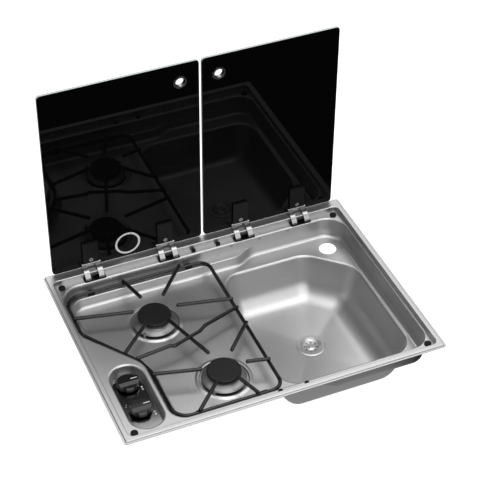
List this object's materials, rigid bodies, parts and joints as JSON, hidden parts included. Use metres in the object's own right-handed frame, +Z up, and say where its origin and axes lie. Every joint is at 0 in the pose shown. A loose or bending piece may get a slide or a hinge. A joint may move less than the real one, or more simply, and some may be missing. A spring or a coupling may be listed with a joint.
{
  "type": "hob and sink combination",
  "caption": "Drop-in stainless steel hob and sink combination with gas burners, wire pan support, recessed knobs and a divided black glass lid that stands open.",
  "frame": {"origin": "centre of the rim outline, on the plane where the rim seal meets the worktop", "axes": "+X to the right along the front edge, +Y to the back where the lid hinges are, +Z up"},
  "size_m": [0.6, 0.4454, 0.5965],
  "materials": {
    "pressed_steel": "satin stainless steel",
    "plain_steel": "plain zinc-plated steel",
    "seal_rubber": "foam rubber",
    "lid_glass": "opaque black toughened glass, polished",
    "bright_metal": "bright chrome plate",
    "black_plastic": "black moulded plastic",
    "black_rubber": "black rubber",
    "black_enamel": "satin black enamel",
    "cast_aluminium": "plain aluminium",
    "tap_brass": "plain brass",
    "panel_black": "smooth dark panel",
    "knob_plastic": "black moulded plastic, white pointer line"
  },
  "bodies": {
    "worktop_unit": {"sink_top": "pressed_steel", "hob_tray": "pressed_steel", "sink_bowl": "pressed_steel", "rim_seal": "seal_rubber", "hinge_inserts": "black_plastic", "hinge_boxes": "plain_steel", "hinge_pins": "plain_steel", "hinge_rivets": "plain_steel", "corner_bumpers": "black_rubber", "edge_bumpers": "black_rubber", "rear_burner_base": "cast_aluminium", "rear_injector": "tap_brass", "rear_thermocouple": "plain_steel", "front_burner_base": "cast_aluminium", "front_injector": "tap_brass", "front_thermocouple": "plain_steel", "knob_panel": "panel_black", "rear_gas_tap": "tap_brass", "front_gas_tap": "tap_brass", "gas_rail": "cast_aluminium", "rear_gas_pipe": "cast_aluminium", "front_gas_pipe": "cast_aluminium", "drain_flange": "pressed_steel", "waste_washer": "black_rubber", "waste_body": "black_plastic"},
    "left_lid": {"left_glass": "lid_glass", "left_grommet": "bright_metal", "left_hinge_arms": "bright_metal", "left_hinge_covers": "black_plastic", "left_hinge_screws": "bright_metal"},
    "right_lid": {"right_glass": "lid_glass", "right_grommet": "bright_metal", "right_hinge_arms": "bright_metal", "right_hinge_covers": "black_plastic", "right_hinge_screws": "bright_metal"},
    "pan_support": {"pan_support_frame": "black_enamel", "pan_support_fingers": "black_enamel", "pan_support_crossbar": "black_enamel", "pan_support_feet": "black_rubber"},
    "rear_head": {"rear_burner_head": "cast_aluminium"},
    "rear_cap": {"rear_burner_cap": "black_enamel"},
    "front_head": {"front_burner_head": "cast_aluminium"},
    "front_cap": {"front_burner_cap": "black_enamel"},
    "rear_push": {"rear_tap_pin": "tap_brass"},
    "rear_control": {"rear_knob": "knob_plastic", "rear_tap_shaft": "cast_aluminium"},
    "front_push": {"front_tap_pin": "tap_brass"},
    "front_control": {"front_knob": "knob_plastic", "front_tap_shaft": "cast_aluminium"},
    "strainer": {"drain_strainer": "pressed_steel"}
  },
  "joints": [
    {"name": "left_lid_hinge", "type": "hinge", "parent": "worktop_unit", "child": "left_lid", "pos_m": [-0.1347, 0.2093, -0.0101], "axis": [1, 0, 0], "range_deg": [0, 90]},
    {"name": "right_lid_hinge", "type": "hinge", "parent": "worktop_unit", "child": "right_lid", "pos_m": [0.1496, 0.2093, -0.0101], "axis": [1, 0, 0], "range_deg": [0, 90]},
    {"name": "pan_support_lift", "type": "slide", "parent": "worktop_unit", "child": "pan_support", "axis": [0, 0, 1], "range_m": [0, 0.08]},
    {"name": "rear_head_lift", "type": "slide", "parent": "worktop_unit", "child": "rear_head", "axis": [0, 0, 1], "range_m": [0, 0.05]},
    {"name": "rear_cap_lift", "type": "slide", "parent": "rear_head", "child": "rear_cap", "axis": [0, 0, 1], "range_m": [0, 0.03]},
    {"name": "rear_knob_push", "type": "slide", "parent": "worktop_unit", "child": "rear_push", "axis": [0, 0, -1], "range_m": [0, 0.003], "stiffness_N_per_m": 900, "springref_m": -0.002},
    {"name": "rear_knob_turn", "type": "hinge", "parent": "rear_push", "child": "rear_control", "pos_m": [-0.2415, -0.073, -0.0206], "axis": [0, 0, 1], "range_deg": [0, 200]},
    {"name": "front_head_lift", "type": "slide", "parent": "worktop_unit", "child": "front_head", "axis": [0, 0, 1], "range_m": [0, 0.05]},
    {"name": "front_cap_lift", "type": "slide", "parent": "front_head", "child": "front_cap", "axis": [0, 0, 1], "range_m": [0, 0.03]},
    {"name": "front_knob_push", "type": "slide", "parent": "worktop_unit", "child": "front_push", "axis": [0, 0, -1], "range_m": [0, 0.003], "stiffness_N_per_m": 900, "springref_m": -0.002},
    {"name": "front_knob_turn", "type": "hinge", "parent": "front_push", "child": "front_control", "pos_m": [-0.2415, -0.136, -0.0206], "axis": [0, 0, 1], "range_deg": [0, 200]},
    {"name": "strainer_lift", "type": "slide", "parent": "worktop_unit", "child": "strainer", "axis": [0, 0, 1], "range_m": [0, 0.05]}
  ]
}
